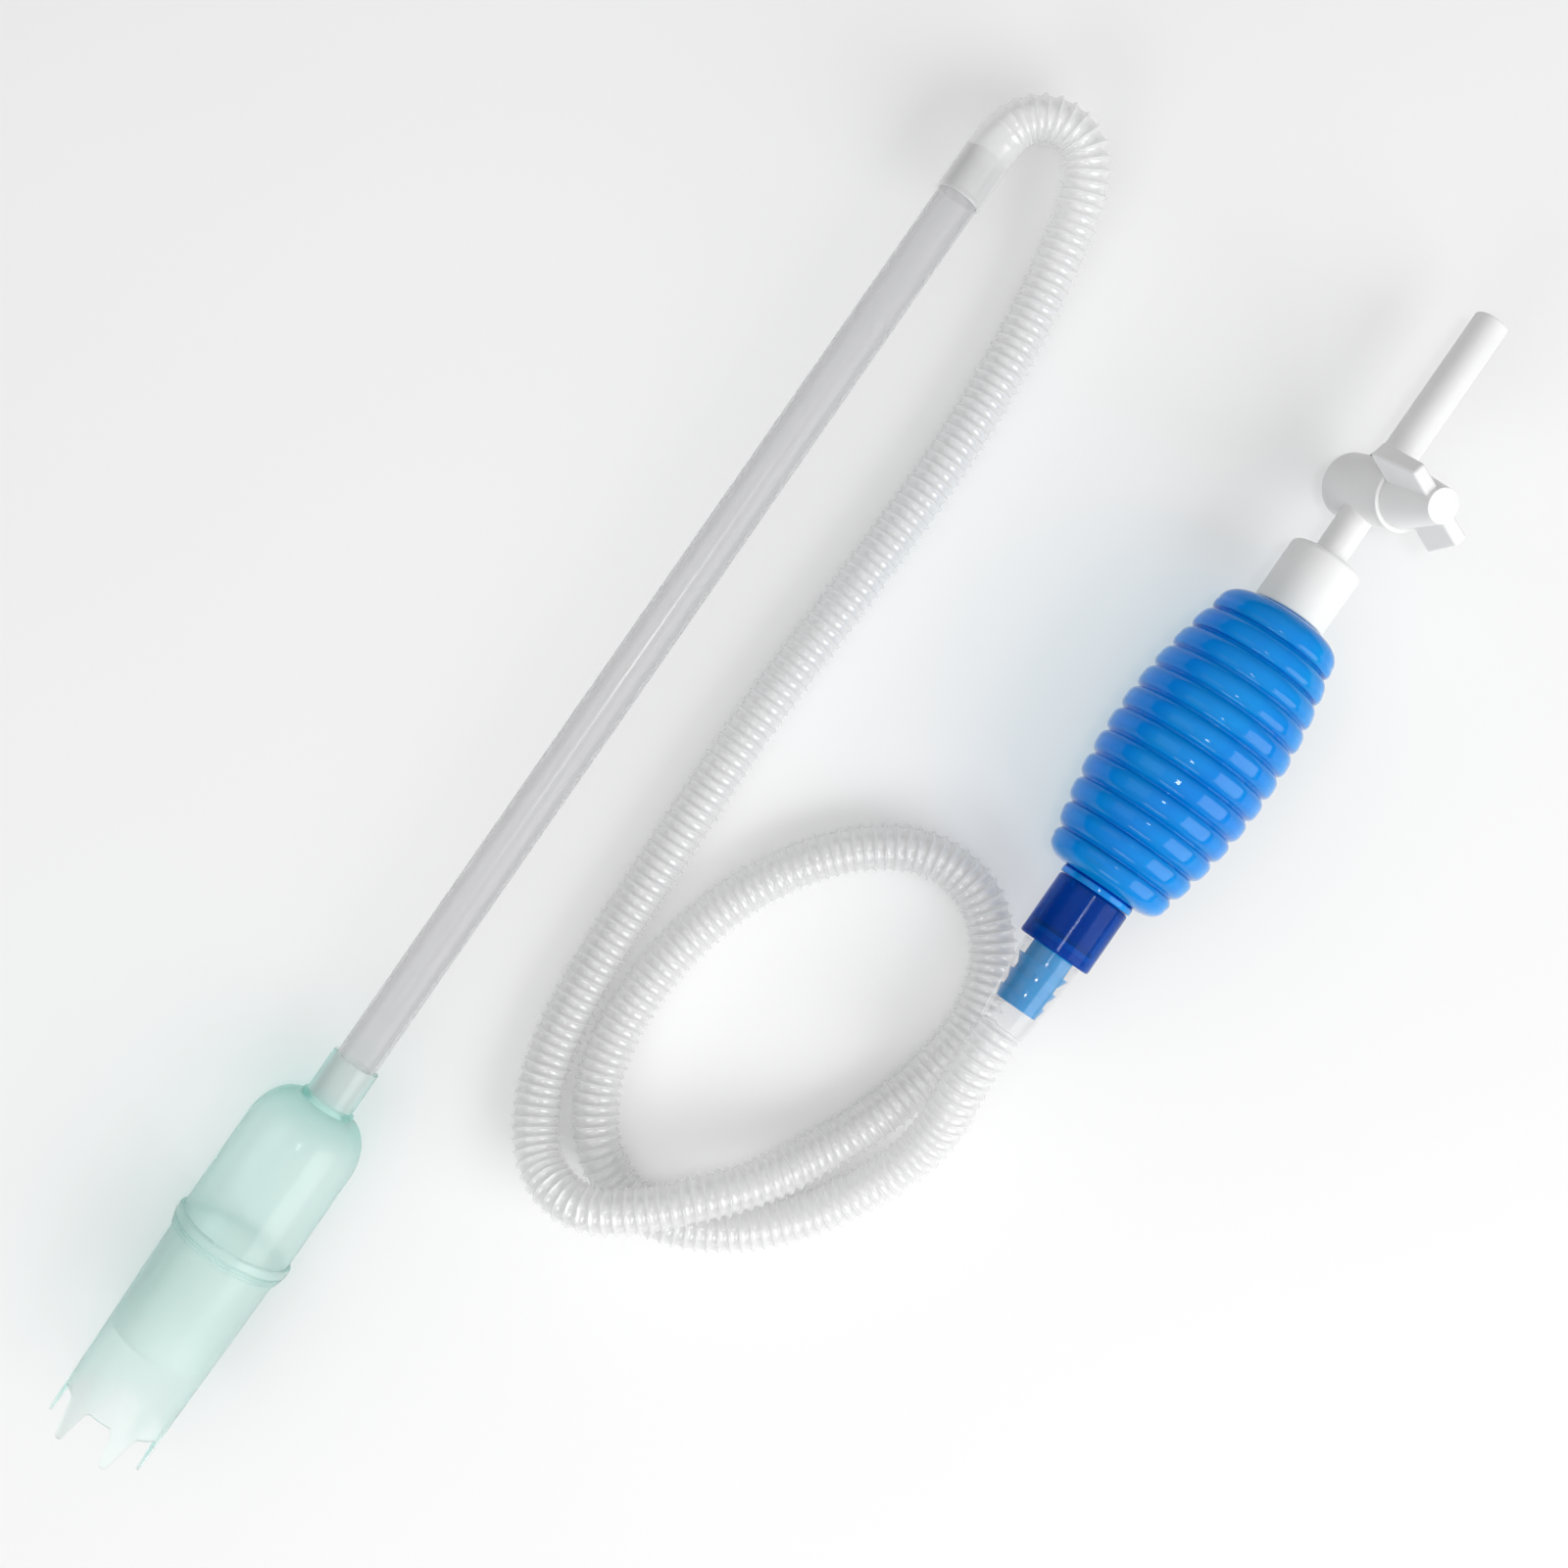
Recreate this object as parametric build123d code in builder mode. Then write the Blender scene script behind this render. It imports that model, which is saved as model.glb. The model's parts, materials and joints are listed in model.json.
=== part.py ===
from build123d import *
import os
from math import cos, pi, radians, sin, tan

# Gravel vacuum siphon, lying as it is laid down. Millimetres, +Z up, floor at z = 0.
# The wand and the squeeze bulb lie side by side along Y, the gravel chamber's mouth
# towards -Y and the outlet spout towards +Y. The origin is the middle of the floor
# rectangle that the object covers.

# ---- driving dimensions ----
overall_length = 614.4
overall_width = 236.6
fit_gap = 0.05  # radial clearance of parts that slide in each other

# wand: sleeve, chamber and tube on one axis
bead_r = 23.3  # collar bead of the sleeve, which rests on the floor
bead_height = 3.8  # plain band at the top of the bead
sleeve_length = 89.9
sleeve_top_r = 21.45
sleeve_mouth_r = 19.65
sleeve_wall = 1.25
socket_depth = 3.4  # how far the chamber's rim enters the sleeve's bead
tooth_count = 6
tooth_depth = 14.2
valley_width = 10.5
tooth_tip_width = 4.0
tooth_tip_cut = 1.8  # how far each valley's cut runs over the tooth's tip
valley_round = 2.0
tip_round = 1.7
ring_count = 3  # fine rings that step down from the bead to the skirt
ring_pitch = 1.3
ring_width = 0.85
ring_step = 0.45  # each ring is this much smaller than the one above it
chamber_r = 21.95
chamber_wall = 1.4
chamber_length = 78.7  # from the neck's mouth to the rim
skirt_length = 48.4  # below the sleeve's top
skirt_wall = 1.2
shoulder_length = 18.0
neck_r = 9.4
neck_length = 18.0
base_ring_r = 10.5  # small step where the neck meets the dome
tube_r = 8.0
tube_wall = 1.2
tube_insert = 16.8  # tube inside the chamber's neck
tube_end_y = 254.5

# hose and its two cuffs
hose_r = 9.0
hose_wall = 1.4
cuff_r = 9.0
wand_cuff_grip = 18.0  # cuff over the wand tube
cuff_gap = 0.1  # between a tube's end and the hose's end face
pump_cuff_y = 1.0
pump_cuff_end_y = 33.4
pump_cuff_flare_r = 10.0  # where the tail starts inside the cuff
pump_cuff_root_r = 11.7
pump_cuff_wall = 0.9  # stretched thin

# squeeze bulb
bulb_r = 31.3
bulb_end_drop = 8.9  # how much smaller the envelope is at its two ends
rib_count = 12
rib_pitch = 9.47
rib_depth = 2.4
first_rib_y = 67.8
end_rib_trim = 1.5  # the two end ribs are this much narrower
bulb_neck_r = 14.0
bulb_bead_r = 14.6
bulb_wall = 2.0
bulb_bore_r = 9.6

# inlet fitting
collar_r = 14.3
collar_y = 33.8
collar_length = 25.3
spigot_y = 10.0
spigot_bore_r = 5.6
spigot_r = 8.3
barb_count = 3
barb_pitch = 6.5
barb_length = 4.0
first_barb_r = 9.3
barb_growth = 0.5
flange_r = 12.2
flange_thickness = 3.0
seat_thickness = 2.0
flap_r = 8.4
flap_thickness = 1.4
flap_lift = 2.0
flap_knob_r = 2.3
seat_hole_r = 1.7
seat_hole_count = 6
seat_hole_ring_r = 5.4
flap_stem_r = 1.4

# outlet head
cap_r = 14.0
cap_y = 179.7
cap_length = 25.0
cap_wall = 1.7
cap_plate = 2.2
stub_r = 6.2
valve_y = 234.0
barrel_r = 12.0
barrel_half = 16.5
barrel_tilt = 64.0  # barrel axis above the floor, leaning towards +X
barrel_floor = 3.0
ring_cover = 1.5  # thickness of the retaining ring
plug_r = 9.0
plug_neck_r = 6.0
seal_depth = 1.2
seal_width = 2.0
seal_heights = (-8.4, 8.4)
stem_half = 3.6
stem_length = 12.0
port_r = 4.0
handle_turn = 75.0  # handle's rest angle from the flow axis
handle_height = 21.0
hub_r = 11.0
hub_end_r = 6.3
wing_half = 23.0
wing_end_half = 16.5
wing_thickness = 7.0
wing_end_thickness = 5.4
spout_r = 6.6
spout_bore_r = 5.0
socket_r = 7.4  # the boss that the spout stands on
nipple_length = 9.0


def envelope_r(y):
    """Radius of the bulb's rib crests, a parabola along its axis."""
    middle = first_rib_y + (rib_count - 1) * rib_pitch / 2
    return bulb_r - bulb_end_drop * ((y - middle) / (rib_count * rib_pitch / 2)) ** 2


# ---- places worked out from them ----
bulb_rest_r = envelope_r(first_rib_y + (rib_count / 2 - 1) * rib_pitch)
mouth_y = -overall_length / 2
spout_tip_y = overall_length / 2
wand_x = bead_r - overall_width / 2
pump_x = overall_width / 2 - bulb_rest_r
wand_z = bead_r
pump_z = bulb_rest_r
wand_plane = Plane(origin=(wand_x, 0, wand_z))
wand_axis = Axis((wand_x, 0, wand_z), (0, 1, 0))
pump_plane = Plane(origin=(pump_x, 0, pump_z))
pump_axis = Axis((pump_x, 0, pump_z), (0, 1, 0))
sleeve_top_y = mouth_y + sleeve_length
rim_y = sleeve_top_y - socket_depth
neck_top_y = rim_y + chamber_length
neck_base_y = neck_top_y - neck_length
skirt_end_y = sleeve_top_y - skirt_length
tube_start_y = neck_top_y - tube_insert
valve_centre = (pump_x, valve_y, pump_z)
barrel_axis = Vector(cos(radians(barrel_tilt)), 0, sin(radians(barrel_tilt)))
valve_plane = Plane(origin=valve_centre, x_dir=(0, 1, 0), z_dir=barrel_axis)
wing_dir = valve_plane.x_dir * cos(radians(handle_turn)) + valve_plane.y_dir * sin(radians(handle_turn))
handle_plane = Plane(origin=valve_centre, x_dir=wing_dir, z_dir=barrel_axis)
flow_plane = Plane(origin=valve_centre, x_dir=(1, 0, 0), z_dir=(0, 1, 0))

os.makedirs("parts", exist_ok=True)


def ring(inner, outer, low, high):
    """Half section of a plain ring, as (radius, y), in the current sketch."""
    return Polygon((inner, low), (outer, low), (outer, high), (inner, high), align=None)


def cone_ring(inner_low, outer_low, inner_high, outer_high, low, high):
    """Half section of a tapered ring, as (radius, y), in the current sketch."""
    corners = ((inner_low, low), (outer_low, low), (outer_high, high), (inner_high, high))
    return Polygon(*corners, align=None)


def sleeve_r(y):
    """Outer radius of the sleeve's tapered wall."""
    return sleeve_mouth_r + (sleeve_top_r - sleeve_mouth_r) * (y - mouth_y) / sleeve_length


# ---- wand ----
# The toothed sleeve: a collar bead that takes the chamber's rim, three fine rings, and
# a tapered skirt.
socket_floor_y = rim_y - 0.2
band_low_y = sleeve_top_y - bead_height
bead_low_y = band_low_y - ring_count * ring_pitch
with BuildPart() as crown_sleeve:
    with BuildSketch(wand_plane):
        ring(chamber_r + fit_gap, bead_r, socket_floor_y, sleeve_top_y)
        ring(sleeve_r(bead_low_y) - sleeve_wall, bead_r, band_low_y, socket_floor_y)
        cone_ring(
            sleeve_r(bead_low_y) - sleeve_wall,
            sleeve_r(bead_low_y),
            sleeve_r(bead_low_y) - sleeve_wall,
            bead_r - 2 * ring_step,
            bead_low_y,
            band_low_y,
        )
        cone_ring(
            sleeve_mouth_r - sleeve_wall,
            sleeve_mouth_r,
            sleeve_r(bead_low_y) - sleeve_wall,
            sleeve_r(bead_low_y),
            mouth_y,
            bead_low_y,
        )
        for i in range(ring_count):
            ring_high_y = band_low_y - (i + 1) * ring_pitch + ring_width
            ring_r = bead_r - (i + 1) * ring_step
            ring(sleeve_r(bead_low_y) - sleeve_wall / 2, ring_r, ring_high_y - ring_width, ring_high_y)
    revolve(axis=wand_axis)
    bead_edges = crown_sleeve.edges().filter_by(GeomType.CIRCLE).filter_by(
        lambda edge: abs(edge.radius - bead_r) < 0.01
    )
    fillet(bead_edges, radius=0.8)
    # one valley between each two teeth, the first on top
    tooth_pitch = 2 * pi * sleeve_mouth_r / tooth_count
    gap_half = (tooth_pitch - tooth_tip_width) / 2
    cut_half = gap_half + tooth_tip_cut
    cut_start = -3.0
    for i in range(tooth_count):
        turn = radians(i * 360 / tooth_count)
        out = Vector(sin(turn), 0, cos(turn))
        mouth_point = (wand_x, mouth_y, wand_z)
        with BuildSketch(Plane(origin=mouth_point, x_dir=out.cross(Vector(0, -1, 0)), z_dir=out)):
            with BuildLine():
                FilletPolyline(
                    (-cut_half, cut_start),
                    (-cut_half, 0),
                    (-gap_half, 0),
                    (-valley_width / 2, tooth_depth),
                    (valley_width / 2, tooth_depth),
                    (gap_half, 0),
                    (cut_half, 0),
                    (cut_half, cut_start),
                    radius=[0, tip_round, valley_round, valley_round, tip_round, 0],
                )
                Line((cut_half, cut_start), (-cut_half, cut_start))
            make_face()
        extrude(amount=bead_r + 1, mode=Mode.SUBTRACT)

# The gravel chamber: neck, dome, rim, and the thinner skirt inside the sleeve.
shoulder_y = neck_base_y - shoulder_length
skirt_top_r = sleeve_r(rim_y) - sleeve_wall - 0.2
skirt_end_r = sleeve_r(skirt_end_y) - sleeve_wall - 0.2
dome_height = shoulder_length - 0.9
dome_bore_r = tube_r - tube_wall
with BuildPart() as gravel_chamber:
    with BuildSketch(wand_plane):
        with BuildLine():
            bore_r = tube_r + fit_gap
            stop_y = tube_start_y - 0.15
            Polyline(
                (bore_r, neck_top_y),
                (neck_r, neck_top_y),
                (neck_r, neck_base_y + 1.6),
                (base_ring_r, neck_base_y + 1.0),
                (base_ring_r, neck_base_y - 0.9),
            )
            # a quarter of an ellipse, nearly flat beside the neck
            EllipticalCenterArc(
                (base_ring_r, shoulder_y),
                chamber_r - base_ring_r,
                dome_height,
                start_angle=0,
                arc_size=90,
            )
            Polyline(
                (chamber_r, shoulder_y),
                (chamber_r, rim_y),
                (skirt_top_r, rim_y),
                (skirt_end_r, skirt_end_y),
                (skirt_end_r - skirt_wall, skirt_end_y),
                (skirt_top_r - skirt_wall, rim_y + 1.2),
                (chamber_r - chamber_wall, rim_y + 3.0),
                (chamber_r - chamber_wall, shoulder_y),
            )
            EllipticalCenterArc(
                (dome_bore_r, shoulder_y),
                chamber_r - chamber_wall - dome_bore_r,
                dome_height - chamber_wall,
                start_angle=0,
                arc_size=90,
            )
            Polyline(
                (dome_bore_r, neck_base_y - chamber_wall - 0.9),
                (dome_bore_r, stop_y),
                (bore_r, stop_y),
                (bore_r, neck_top_y),
            )
        make_face()
    revolve(axis=wand_axis)

with BuildPart() as wand_tube:
    with BuildSketch(wand_plane):
        ring(tube_r - tube_wall, tube_r, tube_start_y, tube_end_y)
    revolve(axis=wand_axis)

# ---- hose ----
# Its route on the floor, from the wand's cuff to the bulb's. It turns back tightly at
# the wand, makes one round loop, and crosses over its own later stretch in a low hump.
hose_start_y = tube_end_y + cuff_gap
hose_route = [
    (wand_x, hose_start_y, wand_z),
    (wand_x, 270.0, wand_z),
    (-84.3, 281.0, 22.4),
    (-69.0, 280.7, 20.6),
    (-59.4, 268.5, 17.8),
    (-53.0, 244.0, 12.5),
    (-47.0, 207.0, hose_r),
    (-44.0, 160.0, hose_r),
    (-45.4, 101.0, hose_r),
    (-48.2, 41.0, hose_r),
    (-46.4, -18.0, hose_r),
    (-45.0, -70.0, hose_r),
    (-38.5, -111.0, hose_r),
    (-23.0, -136.0, 13.0),
    (-3.0, -141.0, 24.0),
    (14.0, -131.5, 28.8),
    (33.0, -112.5, 28.8),
    (49.0, -95.5, 21.0),
    (61.0, -76.0, 11.0),
    (72.0, -52.0, hose_r),
    (80.0, -24.0, hose_r),
    (81.0, 0.0, hose_r),
    (73.0, 23.0, hose_r),
    (54.0, 38.5, hose_r),
    (28.0, 38.0, hose_r),
    (4.0, 20.0, hose_r),
    (-14.0, -8.0, hose_r),
    (-23.5, -38.0, hose_r),
    (-26.0, -70.0, hose_r),
    (-21.0, -100.0, hose_r),
    (-5.0, -122.5, hose_r),
    (18.0, -131.5, hose_r),
    (42.0, -124.0, hose_r),
    (64.0, -106.5, hose_r),
    (81.0, -82.0, 9.5),
    (93.0, -50.0, 15.5),
    (pump_x, -19.0, pump_z),
    (pump_x, pump_cuff_y, pump_z),
]


def corner_radii(points):
    """The largest even arc at each corner: 0.45 of its shorter run, over tan(half turn)."""
    places = [Vector(p) for p in points]
    radii = []
    for before, corner, after in zip(places, places[1:], places[2:]):
        turn = radians((corner - before).get_angle(after - corner))
        shorter = min((corner - before).length, (after - corner).length)
        radii.append(0.45 * shorter / tan(turn / 2))
    return radii


hose_radii = corner_radii(hose_route)
with BuildPart() as hose:
    with BuildLine():
        hose_path = FilletPolyline(*hose_route, radius=hose_radii)
    with BuildSketch(Plane(origin=hose_route[0], z_dir=(0, 1, 0))):
        Circle(hose_r)
        Circle(hose_r - hose_wall, mode=Mode.SUBTRACT)
    sweep()
hose_length = hose_path.length
expected_volume = pi * (hose_r**2 - (hose_r - hose_wall) ** 2) * hose_length
print("hose radii", [round(r, 1) for r in hose_radii])
print("hose length", round(hose_length, 1))
print("hose volume", round(hose.part.volume), "expected", round(expected_volume))

with BuildPart() as wand_cuff:
    with BuildSketch(wand_plane):
        ring(tube_r + 0.02, cuff_r, tube_end_y - wand_cuff_grip, hose_start_y)
    revolve(axis=wand_axis)

# ---- inlet fitting ----
# The barbed tail: barbs that grow towards the collar, then a flange inside the collar.
barb_crest_r = [first_barb_r + barb_growth * i for i in range(barb_count)]
flange_y = collar_y + 0.3
with BuildPart() as inlet_spigot:
    with BuildSketch(pump_plane):
        ring(spigot_bore_r, spigot_r, spigot_y, flange_y)
        for i in range(barb_count):
            y = spigot_y + 0.8 + i * barb_pitch
            cone_ring(spigot_bore_r, spigot_r, spigot_bore_r, barb_crest_r[i], y, y + barb_length)
        ring(spigot_bore_r, flange_r, flange_y, flange_y + flange_thickness)
    revolve(axis=pump_axis)

with BuildPart() as pump_cuff:
    with BuildSketch(pump_plane):
        with BuildLine():
            Polyline(
                (hose_r - hose_wall, pump_cuff_y),
                (cuff_r, pump_cuff_y),
                (pump_cuff_flare_r, spigot_y),
                (pump_cuff_root_r, pump_cuff_end_y),
                (pump_cuff_root_r - pump_cuff_wall, pump_cuff_end_y),
                (barb_crest_r[0] - 0.1, spigot_y),
                (hose_r - hose_wall, spigot_y - 0.5),
                close=True,
            )
        make_face()
    revolve(axis=pump_axis)

# The collar: a cup open towards the tail, with a spigot that the bulb's neck grips.
seat_y = flange_y + flange_thickness + 0.05
gasket_y = seat_y + seat_thickness + 0.05
collar_shoulder_y = gasket_y + 1.5
collar_top_y = collar_y + collar_length
bulb_spigot_r = bulb_bore_r - 0.1
bulb_spigot_end_y = collar_top_y + 10.0
collar_bore_r = 11.2
counterbore_r = flange_r + 0.1
with BuildPart() as inlet_collar:
    with BuildSketch(pump_plane):
        with BuildLine():
            Polyline(
                (counterbore_r, collar_y),
                (collar_r, collar_y),
                (collar_r, collar_top_y),
                (bulb_spigot_r, collar_top_y),
                (bulb_spigot_r, bulb_spigot_end_y),
                (bulb_spigot_r - 1.7, bulb_spigot_end_y),
                (bulb_spigot_r - 1.7, collar_top_y - 2.2),
                (collar_bore_r, collar_top_y - 2.2),
                (collar_bore_r, collar_shoulder_y),
                (counterbore_r, collar_shoulder_y),
                close=True,
            )
        make_face()
    revolve(axis=pump_axis)
    collar_edges = inlet_collar.edges().filter_by(GeomType.CIRCLE).filter_by(
        lambda edge: abs(edge.radius - collar_r) < 0.01
    )
    fillet(collar_edges, radius=1.0)

with BuildPart() as inlet_gasket:
    with BuildSketch(pump_plane):
        ring(bulb_bore_r, flange_r, gasket_y, collar_shoulder_y - 0.05)
    revolve(axis=pump_axis)


def drill_seat(y):
    """Water holes and the stem's hole, cut through a seat that starts at y."""
    seat_face = Plane(origin=(pump_x, y - 1, pump_z), x_dir=(1, 0, 0), z_dir=(0, 1, 0))
    with BuildSketch(seat_face) as holes:
        with PolarLocations(seat_hole_ring_r, seat_hole_count):
            Circle(seat_hole_r)
        Circle(flap_stem_r + 0.2)
    extrude(holes.sketch, amount=seat_thickness + 2, mode=Mode.SUBTRACT)


with BuildPart() as inlet_valve_seat:
    with BuildSketch(pump_plane):
        ring(0, flange_r, seat_y, seat_y + seat_thickness)
    revolve(axis=pump_axis)
    drill_seat(seat_y)


def flap_section(seat_low_y):
    """Half section of a mushroom flap: disc, stem, and the knob that stops its lift."""
    disc_y = seat_low_y + seat_thickness + 0.02
    knob_y = seat_low_y - flap_lift - 0.1
    return Polygon(
        (0, disc_y + flap_thickness),
        (4.0, disc_y + flap_thickness),
        (flap_r, disc_y + 0.9),
        (flap_r, disc_y),
        (flap_stem_r, disc_y),
        (flap_stem_r, knob_y),
        (flap_knob_r, knob_y),
        (1.5, knob_y - 1.6),
        (0, knob_y - 1.6),
        align=None,
    )


with BuildPart() as inlet_flap:
    with BuildSketch(pump_plane):
        flap_section(seat_y)
    revolve(axis=pump_axis)

# ---- squeeze bulb ----
# Twelve round ribs on a barrel, a beaded neck over the collar's spigot, a neck for the cap.
bulb_start_y = collar_top_y + 0.2
neck_end_y = cap_y + 13.0
bulb_low_y = first_rib_y - rib_pitch / 2
bulb_high_y = bulb_low_y + rib_count * rib_pitch
bulb_mid_y = (bulb_low_y + bulb_high_y) / 2
cap_neck_r = cap_r - cap_wall - 0.15
groove_ys = [bulb_low_y + i * rib_pitch for i in range(rib_count + 1)]
grooves = [(envelope_r(y) - rib_depth, y) for y in groove_ys]
grooves[0] = (grooves[0][0], bulb_low_y + end_rib_trim)
grooves[-1] = (grooves[-1][0], bulb_high_y - end_rib_trim)
with BuildPart() as squeeze_bulb:
    with BuildSketch(pump_plane):
        with BuildLine():
            Polyline(
                (bulb_bore_r, bulb_start_y),
                (bulb_bead_r, bulb_start_y),
                (bulb_bead_r, bulb_start_y + 2.4),
                grooves[0],
            )
            for i in range(rib_count):
                crest_y = first_rib_y + i * rib_pitch
                ThreePointArc(grooves[i], (envelope_r(crest_y), crest_y), grooves[i + 1])
            wall_end_r = grooves[0][0] - bulb_wall
            Polyline(
                grooves[-1],
                (bulb_neck_r, cap_y - 3.2),
                (bulb_neck_r, cap_y - 0.3),
                (cap_neck_r, cap_y - 0.3),
                (cap_neck_r, neck_end_y),
                (bulb_bore_r, neck_end_y),
                (bulb_bore_r, bulb_high_y + 0.5),
                (wall_end_r, bulb_high_y - 4.0),
            )
            ThreePointArc(
                (wall_end_r, bulb_high_y - 4.0),
                (bulb_r - rib_depth - bulb_wall, bulb_mid_y),
                (wall_end_r, bulb_low_y + 4.0),
            )
            Polyline(
                (wall_end_r, bulb_low_y + 4.0),
                (bulb_bore_r, bulb_low_y + 1.0),
                (bulb_bore_r, bulb_start_y),
            )
        make_face()
    revolve(axis=pump_axis)

# ---- outlet head ----
cap_top_y = cap_y + cap_length
cap_inner_r = cap_r - cap_wall
cap_gasket_y = neck_end_y + 0.05
outlet_seat_y = cap_gasket_y + 1.55
cup_y = outlet_seat_y + seat_thickness + 0.05
cup_top_y = cap_top_y - cap_plate - 0.05
with BuildPart() as outlet_cap:
    with BuildSketch(pump_plane):
        ring(cap_inner_r, cap_r, cap_y, cap_top_y)
        ring(stub_r + 0.1, cap_r, cap_top_y - cap_plate, cap_top_y)
    revolve(axis=pump_axis)
    cap_rim = outlet_cap.edges().filter_by(GeomType.CIRCLE).filter_by(
        lambda edge: abs(edge.radius - cap_r) < 0.01
    )
    fillet(cap_rim.sort_by(Axis.Y)[-1], radius=2.0)
    fillet(cap_rim.sort_by(Axis.Y)[0], radius=0.5)

with BuildPart() as cap_gasket:
    with BuildSketch(pump_plane):
        ring(bulb_bore_r, cap_inner_r - 0.15, cap_gasket_y, cap_gasket_y + 1.5)
    revolve(axis=pump_axis)

with BuildPart() as outlet_valve_seat:
    with BuildSketch(pump_plane):
        ring(0, cap_inner_r - 0.15, outlet_seat_y, outlet_seat_y + seat_thickness)
    revolve(axis=pump_axis)
    drill_seat(outlet_seat_y)

with BuildPart() as outlet_flap:
    with BuildSketch(pump_plane):
        flap_section(outlet_seat_y)
    revolve(axis=pump_axis)

# The valve body: a cup under the cap, a stub, the tilted barrel, and the spout's nipple.
boss_end_y = valve_y + barrel_r + 1.5
with BuildPart() as valve_body:
    with BuildSketch(pump_plane):
        ring(9.4, cap_inner_r - 0.15, cup_y, cup_top_y)
        ring(0, cap_inner_r - 0.15, cup_top_y - 1.6, cup_top_y)
        ring(0, stub_r, cup_top_y - 1.6, valve_y)
        cone_ring(0, socket_r + 1.2, 0, socket_r, valve_y + barrel_r - 2.0, boss_end_y)
        ring(0, spout_bore_r - 0.03, valve_y, boss_end_y + nipple_length)
    revolve(axis=pump_axis)
    with BuildSketch(valve_plane.offset(-barrel_half)):
        Circle(barrel_r)
    extrude(amount=2 * barrel_half)
    end_edge = valve_body.edges().filter_by(GeomType.CIRCLE).filter_by(
        lambda edge: abs(edge.radius - barrel_r) < 0.01
    )
    fillet(end_edge.sort_by(Axis.Z)[0], radius=2.2)
    with BuildSketch(valve_plane.offset(barrel_floor - barrel_half)):
        Circle(plug_r)
    extrude(amount=2 * barrel_half, mode=Mode.SUBTRACT)
    with BuildSketch(flow_plane):
        Circle(port_r)
    extrude(amount=valve_y - cup_y, both=True, mode=Mode.SUBTRACT)

# The turning plug: cross bore along the handle's wings, two seal grooves, a square stem.
plug_low = barrel_floor - barrel_half + 0.2
plug_high = barrel_half - 0.1
groove_r = plug_r - seal_depth
handle_low = barrel_half + ring_cover + 0.2
with BuildPart() as valve_plug:
    with BuildSketch(handle_plane.offset(plug_low)):
        Circle(plug_r - fit_gap)
    extrude(amount=plug_high - plug_low)
    with BuildSketch(handle_plane.offset(plug_high)):
        Circle(plug_neck_r)
    extrude(amount=handle_low - plug_high)
    with BuildSketch(handle_plane.offset(handle_low)):
        Rectangle(2 * stem_half, 2 * stem_half)
    extrude(amount=stem_length)
    for height in seal_heights:
        with BuildSketch(handle_plane.offset(height - seal_width / 2 - 0.1)):
            Circle(plug_r + 1)
            Circle(groove_r, mode=Mode.SUBTRACT)
        extrude(amount=seal_width + 0.2, mode=Mode.SUBTRACT)
    with BuildSketch(Plane(origin=valve_centre, x_dir=handle_plane.z_dir, z_dir=handle_plane.x_dir)):
        Circle(port_r)
    extrude(amount=plug_r + 2, both=True, mode=Mode.SUBTRACT)

with BuildPart() as plug_seals:
    for height in seal_heights:
        with BuildSketch(handle_plane.offset(height - seal_width / 2)):
            Circle(plug_r - fit_gap)
            Circle(groove_r + 0.02, mode=Mode.SUBTRACT)
        extrude(amount=seal_width)

with BuildPart() as retaining_ring:
    with BuildSketch(valve_plane.offset(barrel_half)):
        Circle(barrel_r + 0.5)
        Circle(plug_neck_r + fit_gap, mode=Mode.SUBTRACT)
    extrude(amount=ring_cover)
    rim_edges = retaining_ring.edges().filter_by(GeomType.CIRCLE).filter_by(
        lambda edge: abs(edge.radius - barrel_r - 0.5) < 0.01
    )
    fillet(rim_edges, radius=0.5)

# The handle: a tapered hub with two wings that narrow towards their outer edge.
wing_height = handle_height - 1.5
with BuildPart() as valve_handle:
    with BuildSketch(handle_plane.offset(handle_low)):
        Rectangle(2 * wing_half, wing_thickness)
    with BuildSketch(handle_plane.offset(handle_low + wing_height)):
        Rectangle(2 * wing_end_half, wing_end_thickness)
    loft()
    fillet(valve_handle.edges(), radius=1.2)
    with BuildSketch(handle_plane.offset(handle_low)):
        Circle(hub_r)
    with BuildSketch(handle_plane.offset(handle_low + handle_height)):
        Circle(hub_end_r)
    loft()
    with BuildSketch(handle_plane.offset(handle_low - 1)):
        Rectangle(2 * stem_half + 0.06, 2 * stem_half + 0.06)
    extrude(amount=stem_length + 1.3, mode=Mode.SUBTRACT)

with BuildPart() as outlet_spout:
    with BuildSketch(pump_plane):
        ring(spout_bore_r, spout_r, boss_end_y + 0.02, spout_tip_y)
    revolve(axis=pump_axis)
    tip_edges = outlet_spout.edges().filter_by(GeomType.CIRCLE).group_by(Axis.Y)[-1]
    fillet(tip_edges, radius=0.6)

# ---- write ----
named_parts = {
    "crown_sleeve": crown_sleeve,
    "gravel_chamber": gravel_chamber,
    "wand_tube": wand_tube,
    "wand_cuff": wand_cuff,
    "hose": hose,
    "pump_cuff": pump_cuff,
    "inlet_spigot": inlet_spigot,
    "inlet_collar": inlet_collar,
    "inlet_valve_seat": inlet_valve_seat,
    "inlet_gasket": inlet_gasket,
    "inlet_flap": inlet_flap,
    "squeeze_bulb": squeeze_bulb,
    "outlet_cap": outlet_cap,
    "cap_gasket": cap_gasket,
    "outlet_valve_seat": outlet_valve_seat,
    "outlet_flap": outlet_flap,
    "valve_body": valve_body,
    "valve_plug": valve_plug,
    "plug_seals": plug_seals,
    "retaining_ring": retaining_ring,
    "valve_handle": valve_handle,
    "outlet_spout": outlet_spout,
}
for name, builder in named_parts.items():
    builder.part.label = name
    export_step(builder.part, f"parts/{name}.step")
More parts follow.
